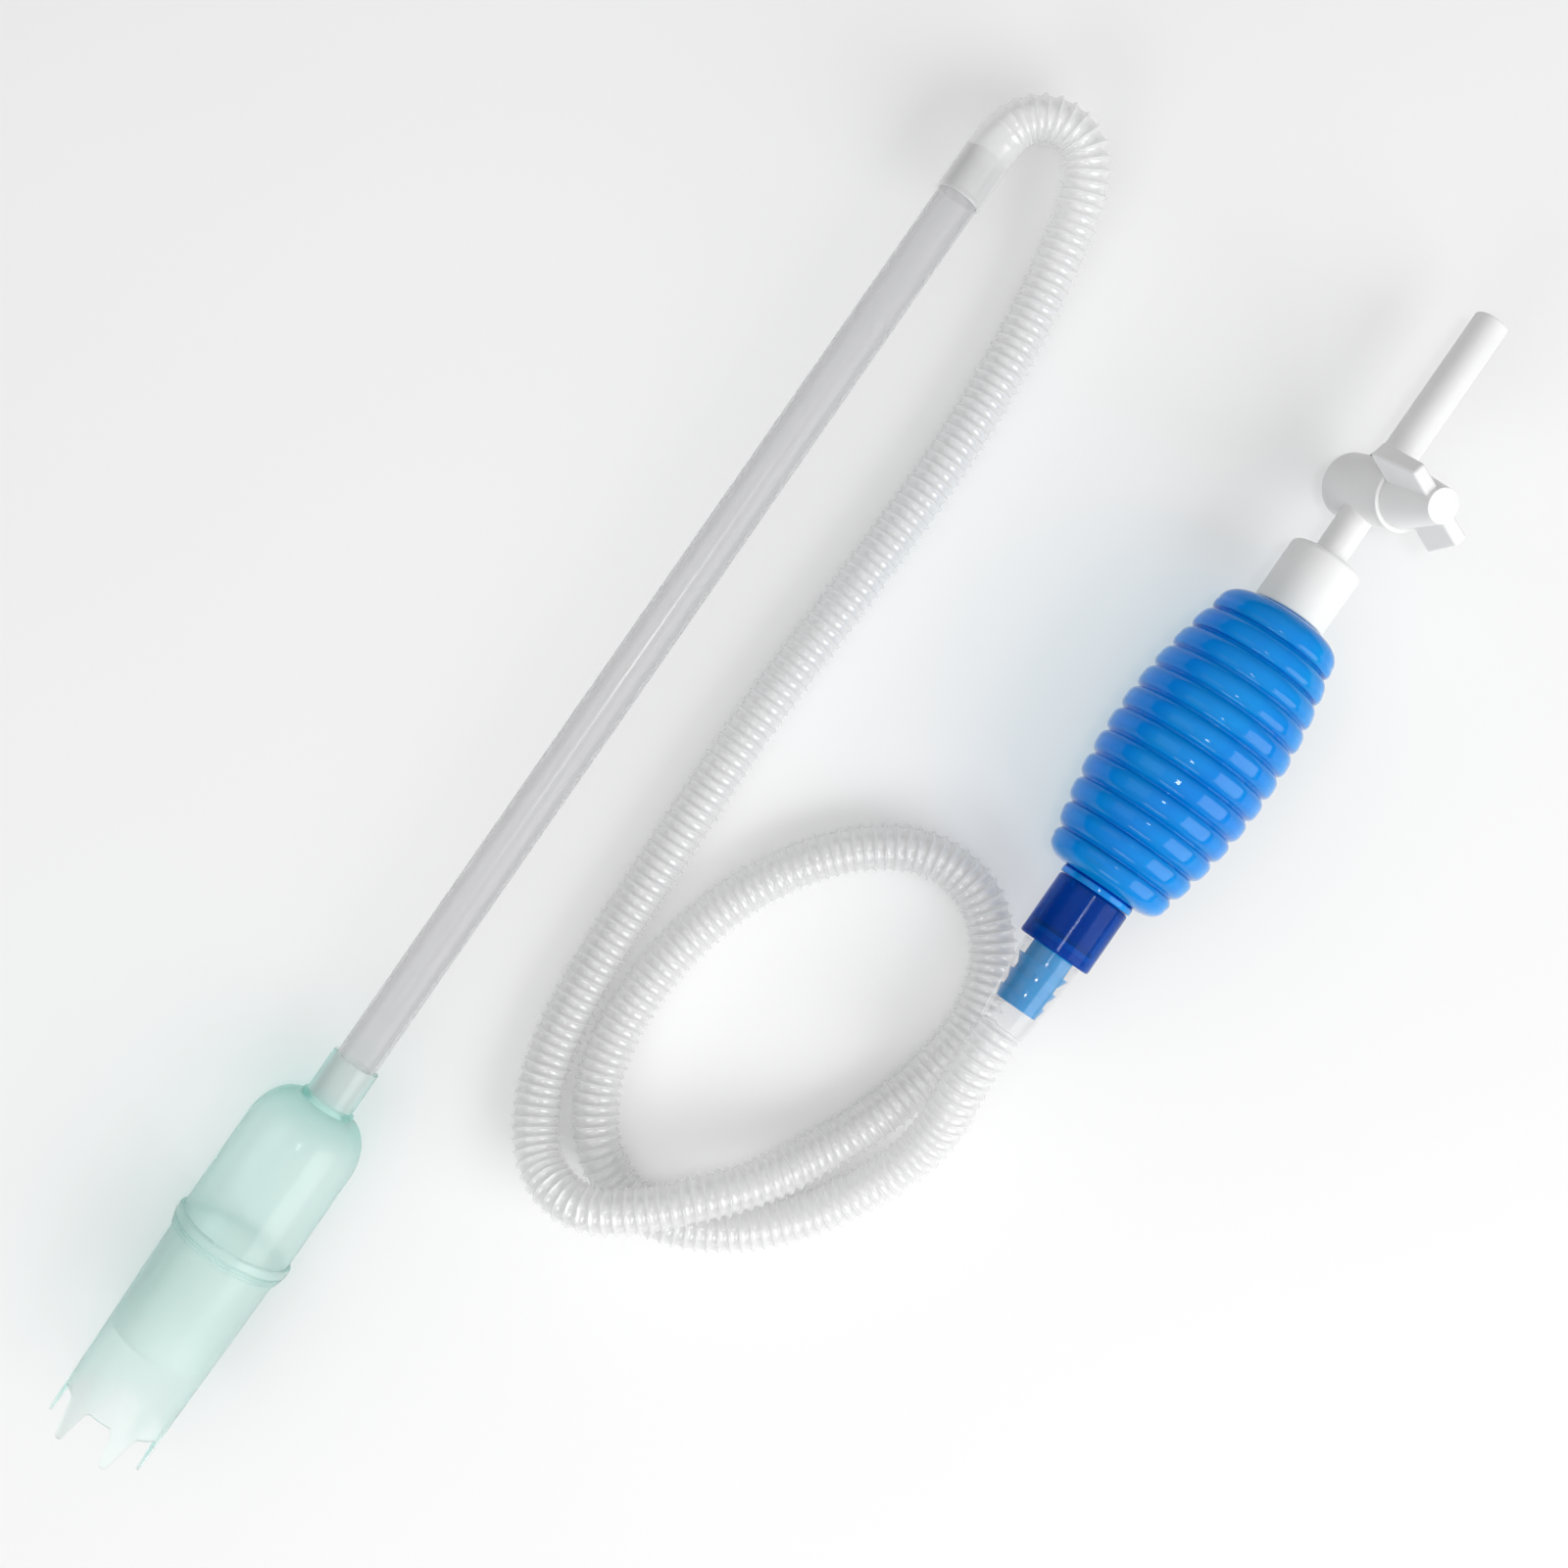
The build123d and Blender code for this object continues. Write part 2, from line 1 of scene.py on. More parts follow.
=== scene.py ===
import json
import math

import bmesh
import bpy
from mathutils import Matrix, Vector


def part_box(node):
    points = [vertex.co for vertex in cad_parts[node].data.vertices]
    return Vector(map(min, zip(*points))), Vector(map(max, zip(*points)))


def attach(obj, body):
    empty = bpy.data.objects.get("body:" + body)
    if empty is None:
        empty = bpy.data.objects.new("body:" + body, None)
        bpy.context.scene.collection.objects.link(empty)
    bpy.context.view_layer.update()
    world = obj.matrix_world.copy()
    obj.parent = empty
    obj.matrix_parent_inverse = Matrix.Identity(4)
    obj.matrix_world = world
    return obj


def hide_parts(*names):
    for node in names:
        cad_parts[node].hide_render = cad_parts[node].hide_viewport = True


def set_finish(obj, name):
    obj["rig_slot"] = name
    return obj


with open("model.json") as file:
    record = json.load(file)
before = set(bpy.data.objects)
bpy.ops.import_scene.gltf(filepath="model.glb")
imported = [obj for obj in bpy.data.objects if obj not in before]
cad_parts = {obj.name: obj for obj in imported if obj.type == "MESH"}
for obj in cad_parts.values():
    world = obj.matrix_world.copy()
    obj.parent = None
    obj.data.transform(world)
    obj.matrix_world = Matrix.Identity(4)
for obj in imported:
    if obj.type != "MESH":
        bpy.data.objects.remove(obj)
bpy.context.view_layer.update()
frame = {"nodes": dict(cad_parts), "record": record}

# Gravel vacuum siphon, in metres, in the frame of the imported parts: +Z up, floor at z = 0.
# The hard parts are the CAD nodes with new materials. The hose, its two cuffs, the wand
# tube and the squeeze bulb are new meshes that stand for their plain CAD solids.

# ---- places, from the frame ----
tube_low, tube_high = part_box("wand_tube")
spout_low, spout_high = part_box("outlet_spout")
cap_low, cap_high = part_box("outlet_cap")
cuff_low, cuff_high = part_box("wand_cuff")
pump_cuff_low, pump_cuff_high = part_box("pump_cuff")
spigot_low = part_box("inlet_spigot")[0]
bulb_low, bulb_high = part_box("squeeze_bulb")
wand = Vector(((tube_low.x + tube_high.x) / 2, 0, (tube_low.z + tube_high.z) / 2))
pump = Vector(((spout_low.x + spout_high.x) / 2, 0, (spout_low.z + spout_high.z) / 2))

# ---- camera: straight above, turned so that the wand runs up to the right ----
CAMERA_PLACE = (-0.0259, 0.0281, 0.824)
CAMERA_TURN = math.radians(34.85)
CAMERA_LENS = 51.1


def make_camera():
    camera = bpy.data.cameras.new("camera")
    camera.lens = CAMERA_LENS
    camera.sensor_width = 36.0
    camera.clip_start = 0.05
    camera.clip_end = 20.0
    holder = bpy.data.objects.new("camera", camera)
    holder.location = CAMERA_PLACE
    holder.rotation_euler = (0, 0, CAMERA_TURN)
    bpy.context.scene.collection.objects.link(holder)
    bpy.context.scene.camera = holder


make_camera()

# ---- mesh helpers ----


def place_mesh(name, vertices, faces, sharp_angle=50.0):
    """A smooth-shaded mesh object with sharp edges where its faces turn by more than the angle."""
    mesh = bpy.data.meshes.new(name)
    mesh.from_pydata(vertices, [], faces)
    shell = bmesh.new()
    shell.from_mesh(mesh)
    bmesh.ops.recalc_face_normals(shell, faces=shell.faces)
    shell.to_mesh(mesh)
    shell.free()
    mesh.shade_smooth()
    mesh.set_sharp_from_angle(angle=math.radians(sharp_angle))
    piece = bpy.data.objects.new(name, mesh)
    bpy.context.scene.collection.objects.link(piece)
    return piece


def ring_faces(rings, sides, closed_loop):
    """Quads between each two rings of the same number of sides, and back to the first if closed."""
    faces = []
    for i in range(rings if closed_loop else rings - 1):
        this, following = i * sides, (i + 1) % rings * sides
        for j in range(sides):
            k = (j + 1) % sides
            faces.append((this + j, this + k, following + k, following + j))
    return faces


def rounded(corners, steps=5):
    """A closed outline from (radius, y, rounding) corners, each rounded one a small arc."""
    outline = []
    count = len(corners)
    for i, (r, y, rounding) in enumerate(corners):
        here = Vector((r, y))
        before = Vector(corners[i - 1][:2]) - here
        after = Vector(corners[(i + 1) % count][:2]) - here
        if not rounding:
            outline.append(tuple(here))
            continue
        reach = min(rounding, before.length * 0.49, after.length * 0.49)
        start = here + before.normalized() * reach
        end = here + after.normalized() * reach
        for k in range(steps + 1):
            t = k / steps
            outline.append(tuple(start * (1 - t) ** 2 + here * 2 * t * (1 - t) + end * t**2))
    return outline


def revolve(name, outline, axis, sides=96, sharp_angle=50.0):
    """Turns a closed outline of (radius, y) about the line through axis, parallel to Y."""
    vertices = []
    for r, y in outline:
        for j in range(sides):
            angle = 2 * math.pi * j / sides
            vertices.append((axis.x + r * math.sin(angle), y, axis.z + r * math.cos(angle)))
    return place_mesh(name, vertices, ring_faces(len(outline), sides, True), sharp_angle)


# ---- hose ----
HOSE_R = 0.009
GROOVE_R = 0.0077
HOSE_WALL = 0.0006
RIDGE_PITCH = 0.0039
SMOOTH_START = 0.0090  # plain stretch of hose before the first ridge
GROWING_RIDGES = 5  # the first ones are lower
HOSE_SIDES = 28
START_STEPS = 6  # rings on the plain stretch
START_EASE = 0.0001  # the plain stretch is this much smaller than the ridges
# share of the pitch, and height from groove to crest, of each ring of one ridge
RIDGE_OUTSIDE = [
    (0, 0),
    (0.22, 0.05),
    (0.34, 0.36),
    (0.43, 0.83),
    (0.5, 1),
    (0.57, 0.83),
    (0.66, 0.36),
    (0.78, 0.05),
]
RIDGE_INSIDE = [(0, 0), (0.32, 0.08), (0.5, 0.75), (0.68, 0.08)]
BARB_COUNT = 3
BARB_PITCH = 0.0065
BARB_CREST = 0.0048
hose_route = [
    (wand.x, tube_high.y + 0.0001, wand.z),
    (wand.x, 0.2700, wand.z),
    (-0.0843, 0.2810, 0.0224),
    (-0.0690, 0.2807, 0.0206),
    (-0.0594, 0.2685, 0.0178),
    (-0.0530, 0.2440, 0.0125),
    (-0.0470, 0.2070, HOSE_R),
    (-0.0440, 0.1600, HOSE_R),
    (-0.0454, 0.1010, HOSE_R),
    (-0.0482, 0.0410, HOSE_R),
    (-0.0464, -0.0180, HOSE_R),
    (-0.0450, -0.0700, HOSE_R),
    (-0.0385, -0.1110, HOSE_R),
    (-0.0230, -0.1360, 0.0130),
    (-0.0030, -0.1410, 0.0240),
    (0.0140, -0.1315, 0.0288),
    (0.0330, -0.1125, 0.0288),
    (0.0490, -0.0955, 0.0210),
    (0.0610, -0.0760, 0.0110),
    (0.0720, -0.0520, HOSE_R),
    (0.0800, -0.0240, HOSE_R),
    (0.0810, 0.0000, HOSE_R),
    (0.0730, 0.0230, HOSE_R),
    (0.0540, 0.0385, HOSE_R),
    (0.0280, 0.0380, HOSE_R),
    (0.0040, 0.0200, HOSE_R),
    (-0.0140, -0.0080, HOSE_R),
    (-0.0235, -0.0380, HOSE_R),
    (-0.0260, -0.0700, HOSE_R),
    (-0.0210, -0.1000, HOSE_R),
    (-0.0050, -0.1225, HOSE_R),
    (0.0180, -0.1315, HOSE_R),
    (0.0420, -0.1240, HOSE_R),
    (0.0640, -0.1065, HOSE_R),
    (0.0810, -0.0820, 0.0095),
    (0.0930, -0.0500, 0.0155),
    (pump.x, -0.0190, pump.z),
    (pump.x, pump_cuff_low.y, pump.z),
]


def smooth_line(controls, resolution=48):
    """Points along the NURBS line that has these control points."""
    curve = bpy.data.curves.new("route", "CURVE")
    curve.dimensions = "3D"
    spline = curve.splines.new("NURBS")
    spline.points.add(len(controls) - 1)
    for point, place in zip(spline.points, controls):
        point.co = (*place, 1.0)
    spline.order_u = 3
    spline.use_endpoint_u = True
    spline.resolution_u = resolution
    holder = bpy.data.objects.new("route", curve)
    mesh = bpy.data.meshes.new_from_object(holder)
    points = [v.co.copy() for v in mesh.vertices]
    bpy.data.objects.remove(holder)
    bpy.data.curves.remove(curve)
    bpy.data.meshes.remove(mesh)
    return points


class Line:
    """A line of points that can be read at any distance along it."""

    def __init__(self, points):
        self.points = points
        self.marks = [0.0]
        for a, b in zip(points, points[1:]):
            self.marks.append(self.marks[-1] + (b - a).length)
        self.length = self.marks[-1]
        self.at = 0

    def place(self, distance):
        distance = min(max(distance, 0.0), self.length)
        while self.at and self.marks[self.at] > distance:
            self.at -= 1
        while self.at < len(self.points) - 2 and self.marks[self.at + 1] < distance:
            self.at += 1
        a, b = self.points[self.at], self.points[self.at + 1]
        step = self.marks[self.at + 1] - self.marks[self.at]
        return a.lerp(b, (distance - self.marks[self.at]) / step)

    def heading(self, distance, reach=0.0015):
        return (self.place(distance + reach) - self.place(distance - reach)).normalized()


def hose_rings(line, profile, plain_r, ridges, pitch):
    """Distance and radius of each ring: a plain start, then every ridge's own few rings."""
    rings = [(SMOOTH_START * k / START_STEPS, plain_r) for k in range(START_STEPS)]
    for i in range(ridges):
        grown = min(1.0, (i + 1) / GROWING_RIDGES)
        for share, radius in profile:
            rings.append((SMOOTH_START + (i + share) * pitch, plain_r + (radius - plain_r) * grown))
    rings.append((line.length, profile[0][1]))
    return rings


def sweep_rings(line, rings, sides):
    """Circles of each ring's radius along the line, with the least twist between them."""
    vertices = []
    across = Vector((0, 0, 1))
    for distance, radius in rings:
        heading = line.heading(distance)
        centre = line.place(distance)
        across = (across - heading * across.dot(heading)).normalized()
        upright = heading.cross(across)
        for j in range(sides):
            angle = 2 * math.pi * j / sides
            outward = across * math.cos(angle) + upright * math.sin(angle)
            vertices.append(centre + outward * radius)
    return vertices


def make_hose():
    """The corrugated hose: narrow ridges, wide grooves and a thin wall, as one closed skin."""
    path = smooth_line(hose_route)
    line = Line(path)
    ridges = round((line.length - SMOOTH_START) / RIDGE_PITCH)
    pitch = (line.length - SMOOTH_START) / ridges
    rise = HOSE_R - GROOVE_R
    outside = [(share, GROOVE_R + rise * height) for share, height in RIDGE_OUTSIDE]
    inside = [(share, GROOVE_R - HOSE_WALL + rise * height) for share, height in RIDGE_INSIDE]
    outer_rings = hose_rings(line, outside, HOSE_R - START_EASE, ridges, pitch)
    inner_rings = hose_rings(line, inside, GROOVE_R, ridges, pitch)
    vertices = sweep_rings(line, outer_rings + inner_rings[::-1], HOSE_SIDES)
    faces = ring_faces(len(outer_rings) + len(inner_rings), HOSE_SIDES, True)
    piece = place_mesh("hose_skin", vertices, faces, sharp_angle=80)
    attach(piece, "root")
    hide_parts("hose")
    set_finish(piece, "hose_pvc")
    return piece, path


hose, hose_path = make_hose()

# ---- cuffs ----
CUFF_LIP = 0.0010
LIP_RISE = 0.00015  # the lip stands this much proud of the cuff
GRIP_GAP = 0.00002  # between the cuff and the tube
CUFF_EASE = 0.0001  # each skin stays this far inside its CAD solid
PUMP_CUFF_EASE = 0.0002
CUFF_FLARE_R = 0.0100  # where the spigot starts inside the cuff
CUFF_WALL = 0.0008
CUFF_STEPS = 80
SWELL = 0.00016  # height and half width of the swelling over each barb
SWELL_HALF_WIDTH = 0.0010


def make_wand_cuff():
    """The hose's smooth end over the wand: a small rolled lip, then a plain sleeve."""
    grip_r = tube_high.x - wand.x + GRIP_GAP
    outer_r = cuff_high.x - wand.x
    y0, y1 = cuff_low.y, cuff_high.y
    outline = rounded(
        [
            (grip_r, y0, 0.0003),
            (outer_r + LIP_RISE, y0, 0.0004),
            (outer_r + LIP_RISE, y0 + CUFF_LIP, 0.0004),
            (outer_r - CUFF_EASE, y0 + 2 * CUFF_LIP, 0.0004),
            (outer_r - CUFF_EASE, y1, 0),
            (grip_r, y1, 0),
        ]
    )
    piece = revolve("wand_cuff_skin", outline, wand)
    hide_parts("wand_cuff")
    return piece


def make_pump_cuff():
    """The hose's flared end, stretched over the spigot, so that it swells a little at each barb."""
    y0, y1 = pump_cuff_low.y, pump_cuff_high.y
    root_r = pump_cuff_high.x - pump.x
    barb_ys = [spigot_low.y + BARB_CREST + i * BARB_PITCH for i in range(BARB_COUNT)]
    outer, inner = [], []
    for k in range(CUFF_STEPS + 1):
        y = y0 + (y1 - y0) * k / CUFF_STEPS
        widened = min(1.0, (y - y0) / (spigot_low.y - y0))
        stretched = max(0.0, (y - spigot_low.y) / (y1 - spigot_low.y))
        r = HOSE_R + (CUFF_FLARE_R - HOSE_R) * (3 - 2 * widened) * widened**2
        r += (root_r - CUFF_FLARE_R) * stretched
        swell = sum(SWELL * math.exp(-(((y - barb) / SWELL_HALF_WIDTH) ** 2)) for barb in barb_ys)
        outer.append((r + swell - PUMP_CUFF_EASE, y))
        inner.append((r + swell - PUMP_CUFF_EASE - CUFF_WALL, y))
    piece = revolve("pump_cuff_skin", outer + inner[::-1], pump)
    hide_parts("pump_cuff")
    return piece


wand_cuff = make_wand_cuff()
pump_cuff = make_pump_cuff()
for cuff, slot in ((wand_cuff, "hose_pvc"), (pump_cuff, "soft_cuff")):
    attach(cuff, "root")
    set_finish(cuff, slot)

# ---- wand tube ----
TUBE_WALL = 0.0012
TUBE_EDGE = 0.0002  # rounding of its cut ends


def make_tube():
    """The clear tube with softly broken edges at its two cut ends."""
    outer_r = tube_high.x - wand.x
    inner_r = outer_r - TUBE_WALL
    corners = [
        (inner_r, tube_low.y, TUBE_EDGE),
        (outer_r, tube_low.y, TUBE_EDGE),
        (outer_r, tube_high.y, TUBE_EDGE),
        (inner_r, tube_high.y, TUBE_EDGE),
    ]
    piece = revolve("wand_tube_skin", rounded(corners, 3), wand, sides=160)
    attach(piece, "root")
    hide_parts("wand_tube")
    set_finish(piece, "clear_tube")
    return piece


tube = make_tube()

# ---- squeeze bulb ----
RIB_COUNT = 12
RIB_PITCH = 0.00947
FIRST_RIB_Y = 0.0678
BULB_R = 0.0313
END_DROP = 0.0089
RIB_DEPTH = 0.0024
RIB_SQUARENESS = 3.6  # 2 is a round crest, more is flatter with a narrower groove
BULB_WALL = 0.0017
NECK_BEAD_R = 0.0146
NECK_R = 0.0140
NECK_BEAD_HEIGHT = 0.0024
NECK_BEAD_ROUND = 0.0007
CAP_WALL = 0.0019  # with the clearance round the neck inside the cap
BORE_R = 0.0096
INNER_RIB_SHARE = 0.6  # the ribs are shallower inside than outside
INNER_GAP = 0.0004
# where the domes meet the necks: how far in from the bulb's low end, or short of the cap
LOW_DOME_INSET = 0.0030
LOW_INNER_INSET = 0.0042
LOW_DOME_STEP = 0.0006  # the dome starts this much inside the neck's bead
HIGH_DOME_GAP = 0.0010
HIGH_INNER_GAP = 0.0008
NECK_STEP_GAP = 0.0003  # where the neck narrows to go inside the cap


def envelope(y):
    """Radius of the rib crests, a parabola along the bulb."""
    middle = FIRST_RIB_Y + (RIB_COUNT - 1) * RIB_PITCH / 2
    return BULB_R - END_DROP * ((y - middle) / (RIB_COUNT * RIB_PITCH / 2)) ** 2


def rib_outline(depth, inset, steps):
    """Scalloped line of (radius, y) along all the ribs: broad crests and narrow grooves."""
    outline = []
    for i in range(RIB_COUNT):
        for k in range(steps):
            share = (k + 0.5) / steps
            y = FIRST_RIB_Y + (i + share - 0.5) * RIB_PITCH
            bow = 1 - abs(2 * share - 1) ** RIB_SQUARENESS
            outline.append((envelope(y) - inset - depth * (1 - bow), y))
    return outline


def dome(crest, neck, steps=12):
    """From a rib's crest to the neck along a quarter of a rounded ellipse, both ends included."""
    line = []
    for k in range(steps + 1):
        angle = math.pi / 2 * k / steps
        bend = math.cos(angle) ** 0.9
        y = crest[1] + (neck[1] - crest[1]) * math.sin(angle)
        line.append((neck[0] + (crest[0] - neck[0]) * bend, y))
    return line


def make_bulb():
    """The blow-moulded bulb: ribs, softer ones inside, domed ends, a beaded and a plain neck."""
    y0, y1 = bulb_low.y, bulb_high.y
    cap_neck_r = cap_high.x - pump.x - CAP_WALL
    last_rib_y = FIRST_RIB_Y + (RIB_COUNT - 1) * RIB_PITCH
    outer = [(r, y) for r, y in rib_outline(RIB_DEPTH, 0.0, 20) if FIRST_RIB_Y <= y <= last_rib_y]
    low_dome = dome(outer[0], (NECK_BEAD_R - LOW_DOME_STEP, y0 + LOW_DOME_INSET))[::-1]
    high_dome = dome(outer[-1], (NECK_R, cap_low.y - HIGH_DOME_GAP))
    inner = [
        (r, y)
        for r, y in rib_outline(RIB_DEPTH * INNER_RIB_SHARE, BULB_WALL + INNER_GAP, 6)
        if FIRST_RIB_Y <= y <= last_rib_y
    ]
    low_inner = dome(inner[0], (BORE_R, y0 + LOW_INNER_INSET))[::-1]
    high_inner = dome(inner[-1], (BORE_R, cap_low.y - HIGH_INNER_GAP))
    bead = rounded(
        [
            (BORE_R, y0, 0),
            (NECK_BEAD_R, y0, NECK_BEAD_ROUND),
            (NECK_BEAD_R, y0 + NECK_BEAD_HEIGHT, NECK_BEAD_ROUND),
            low_dome[0] + (0,),
        ]
    )
    neck = [
        (NECK_R, cap_low.y - NECK_STEP_GAP),
        (cap_neck_r, cap_low.y - NECK_STEP_GAP),
        (cap_neck_r, y1),
        (BORE_R, y1),
    ]
    outline = bead[:-1] + low_dome + outer[1:-1] + high_dome + neck
    outline += high_inner[::-1] + inner[1:-1][::-1] + low_inner[::-1]
    piece = revolve("bulb_skin", outline, pump, sides=128, sharp_angle=60)
    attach(piece, "root")
    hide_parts("squeeze_bulb")
    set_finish(piece, "bulb_pvc")
    return piece


bulb = make_bulb()

# ---- materials ----


class Nodes:
    """A new material's node tree, with short ways to add and join nodes."""

    def __init__(self, name):
        self.material = bpy.data.materials.new(name)
        self.material.use_nodes = True
        self.tree = self.material.node_tree
        self.tree.nodes.clear()
        self.output = self.add("ShaderNodeOutputMaterial")
        self.place = self.add("ShaderNodeTexCoord").outputs["Object"]

    def add(self, kind, inputs=None, **settings):
        """A node with these settings and inputs, each input a value or the socket that feeds it."""
        node = self.tree.nodes.new(kind)
        for key, value in settings.items():
            setattr(node, key, value)
        for key, value in (inputs or {}).items():
            if isinstance(value, bpy.types.NodeSocket):
                self.tree.links.new(value, node.inputs[key])
            else:
                node.inputs[key].default_value = value
        return node

    def noise(self, scale, detail=3.0, stretch=(1, 1, 1), distortion=0.0):
        """Noise from 0 to 1. The scale is in lumps per metre, and stretch squeezes each axis."""
        mapped = self.add("ShaderNodeMapping", {"Vector": self.place, "Scale": stretch})
        values = {
            "Vector": mapped.outputs["Vector"],
            "Scale": scale,
            "Detail": detail,
            "Distortion": distortion,
        }
        return self.add("ShaderNodeTexNoise", values).outputs["Fac"]

    def spread(self, value, low, high, start=0.3, end=0.7):
        """Maps a value from start..end to low..high."""
        values = {"Value": value, "From Min": start, "From Max": end, "To Min": low, "To Max": high}
        return self.add("ShaderNodeMapRange", values).outputs["Result"]

    def blend(self, factor, first, second):
        """A colour between two others."""
        node = self.add("ShaderNodeMix", data_type="RGBA")
        self.tree.links.new(factor, node.inputs["Factor"])
        for key, colour in (("A", first), ("B", second)):
            socket = next(x for x in node.inputs if x.name == key and x.type == "RGBA")
            if isinstance(colour, bpy.types.NodeSocket):
                self.tree.links.new(colour, socket)
            else:
                socket.default_value = (*colour, 1)
        return next(x for x in node.outputs if x.type == "RGBA")

    def bump(self, height, distance, strength=1.0):
        values = {"Height": height, "Distance": distance, "Strength": strength}
        return self.add("ShaderNodeBump", values).outputs["Normal"]

    def mix(self, factor, first, second):
        """A shader between two others."""
        node = self.add("ShaderNodeMixShader", {0: factor})
        self.tree.links.new(first, node.inputs[1])
        self.tree.links.new(second, node.inputs[2])
        return node.outputs[0]

    def shine(self, face_on, power, edge_on):
        """Share of light that gloss reflects: little face on, most at a glancing angle."""
        facing = self.add("ShaderNodeLayerWeight", {"Blend": 0.5}).outputs["Facing"]
        curve = self.add("ShaderNodeMath", {0: facing, 1: power}, operation="POWER").outputs[0]
        return self.spread(curve, face_on, edge_on, 0.0, 1.0)

    def groove_shade_mask(self, reach, shut, clear):
        """Mask for painted groove shade: 0 down in a groove and 1 in the open, judged by what lies
        within reach of the surface.
        """
        seen = self.add("ShaderNodeAmbientOcclusion", {"Distance": reach}, samples=6).outputs["AO"]
        return self.spread(seen, 0, 1, shut, clear)

    def let_light_through(self, shader, tint):
        """Lamplight, and light bound for matt surfaces, passes straight through, only tinted."""
        clear = self.add("ShaderNodeBsdfTransparent", {"Color": (*tint, 1)}).outputs[0]
        path = self.add("ShaderNodeLightPath").outputs
        values = {0: path["Is Shadow Ray"], 1: path["Is Diffuse Ray"]}
        either = self.add("ShaderNodeMath", values, operation="MAXIMUM").outputs[0]
        return self.mix(either, shader, clear)

    def absorb(self, colour, density):
        values = {"Color": (*colour, 1), "Density": density}
        volume = self.add("ShaderNodeVolumeAbsorption", values).outputs[0]
        self.tree.links.new(volume, self.output.inputs["Volume"])

    def finish(self, shader):
        self.tree.links.new(shader, self.output.inputs["Surface"])
        return self.material


def thin_wall(
    n, colour, tint, clear_share, passed_on, roughness, grain, face_on, power, edge_on=1.0
):
    """A thin translucent wall, part clear and part milky, glossier at glancing angles."""
    matt = n.add("ShaderNodeBsdfDiffuse", {"Color": colour, "Normal": grain}).outputs[0]
    through = n.add("ShaderNodeBsdfTranslucent", {"Color": colour, "Normal": grain}).outputs[0]
    clear = n.add("ShaderNodeBsdfTransparent", {"Color": (*tint, 1)}).outputs[0]
    values = {"Color": (1, 1, 1, 1), "Roughness": roughness, "Normal": grain}
    gloss = n.add("ShaderNodeBsdfGlossy", values).outputs[0]
    body = n.mix(clear_share, n.mix(passed_on, matt, through), clear)
    return n.mix(n.shine(face_on, power, edge_on), body, gloss)


def mint_plastic():
    """Frosted translucent mint plastic, with a deeper colour where the wall is seen edge on."""
    n = Nodes("mint_plastic")
    patches = n.spread(n.noise(28, 3, (1, 0.4, 1)), 0, 1)
    values = {
        "Base Color": n.blend(patches, (0.985, 0.975, 0.965), (1.0, 0.99, 0.98)),
        "Roughness": n.spread(n.noise(600, 2), 0.30, 0.36),
        "IOR": 1.14,
        "Transmission Weight": 0.84,
        "Coat Weight": 0.3,
        "Coat Roughness": 0.08,
        "Normal": n.bump(n.noise(120, 2), 0.00002, 0.3),
    }
    body = n.add("ShaderNodeBsdfPrincipled", values).outputs[0]
    n.absorb((0.0, 0.77, 0.69), 74.0)
    return n.finish(n.let_light_through(body, (0.955, 0.957, 0.956)))


def clear_tube():
    """Clear extruded tube, a little hazy, with faint cloudiness along it."""
    n = Nodes("clear_tube")
    haze = n.spread(n.noise(90, 2, (1, 0.05, 1)), 0, 1)
    values = {
        "Base Color": n.blend(haze, (0.82, 0.82, 0.825), (0.86, 0.86, 0.865)),
        "Roughness": n.spread(n.noise(300, 2), 0.14, 0.20),
        "IOR": 1.22,
        "Transmission Weight": 0.86,
        "Normal": n.bump(n.noise(300, 2), 0.000003, 0.3),
    }
    body = n.add("ShaderNodeBsdfPrincipled", values).outputs[0]
    n.absorb((0.42, 0.42, 0.44), 44.0)
    return n.finish(n.let_light_through(body, (0.95, 0.95, 0.951)))


def hose_pvc():
    """Thin milky soft PVC: it scatters and passes light, shows what is behind it, and shines."""
    n = Nodes("hose_pvc")
    white = n.blend(n.spread(n.noise(60, 3), 0, 1), (0.98, 0.98, 0.985), (1.0, 1.0, 1.0))
    grain = n.bump(n.noise(1500, 3), 0.00001, 0.3)
    rough = n.spread(n.noise(800, 2), 0.09, 0.16)
    wall = thin_wall(
        n,
        white,
        tint=(0.995, 0.995, 0.995),
        clear_share=0.63,
        passed_on=0.3,
        roughness=rough,
        grain=grain,
        face_on=0.08,
        power=5.0,
        edge_on=0.30,
    )
    return n.finish(wall)


def soft_cuff():
    """The hose's stretched end: the same soft PVC, drawn thin and clear, with a wet gloss."""
    n = Nodes("soft_cuff")
    white = n.blend(n.spread(n.noise(70, 3), 0, 1), (0.86, 0.88, 0.91), (0.92, 0.935, 0.95))
    grain = n.bump(n.noise(900, 3), 0.00001, 0.3)
    rough = n.spread(n.noise(600, 3), 0.05, 0.10)
    wall = thin_wall(
        n,
        white,
        tint=(0.985, 0.988, 0.992),
        clear_share=0.965,
        passed_on=0.3,
        roughness=rough,
        grain=grain,
        face_on=0.02,
        power=4.0,
    )
    return n.finish(wall)


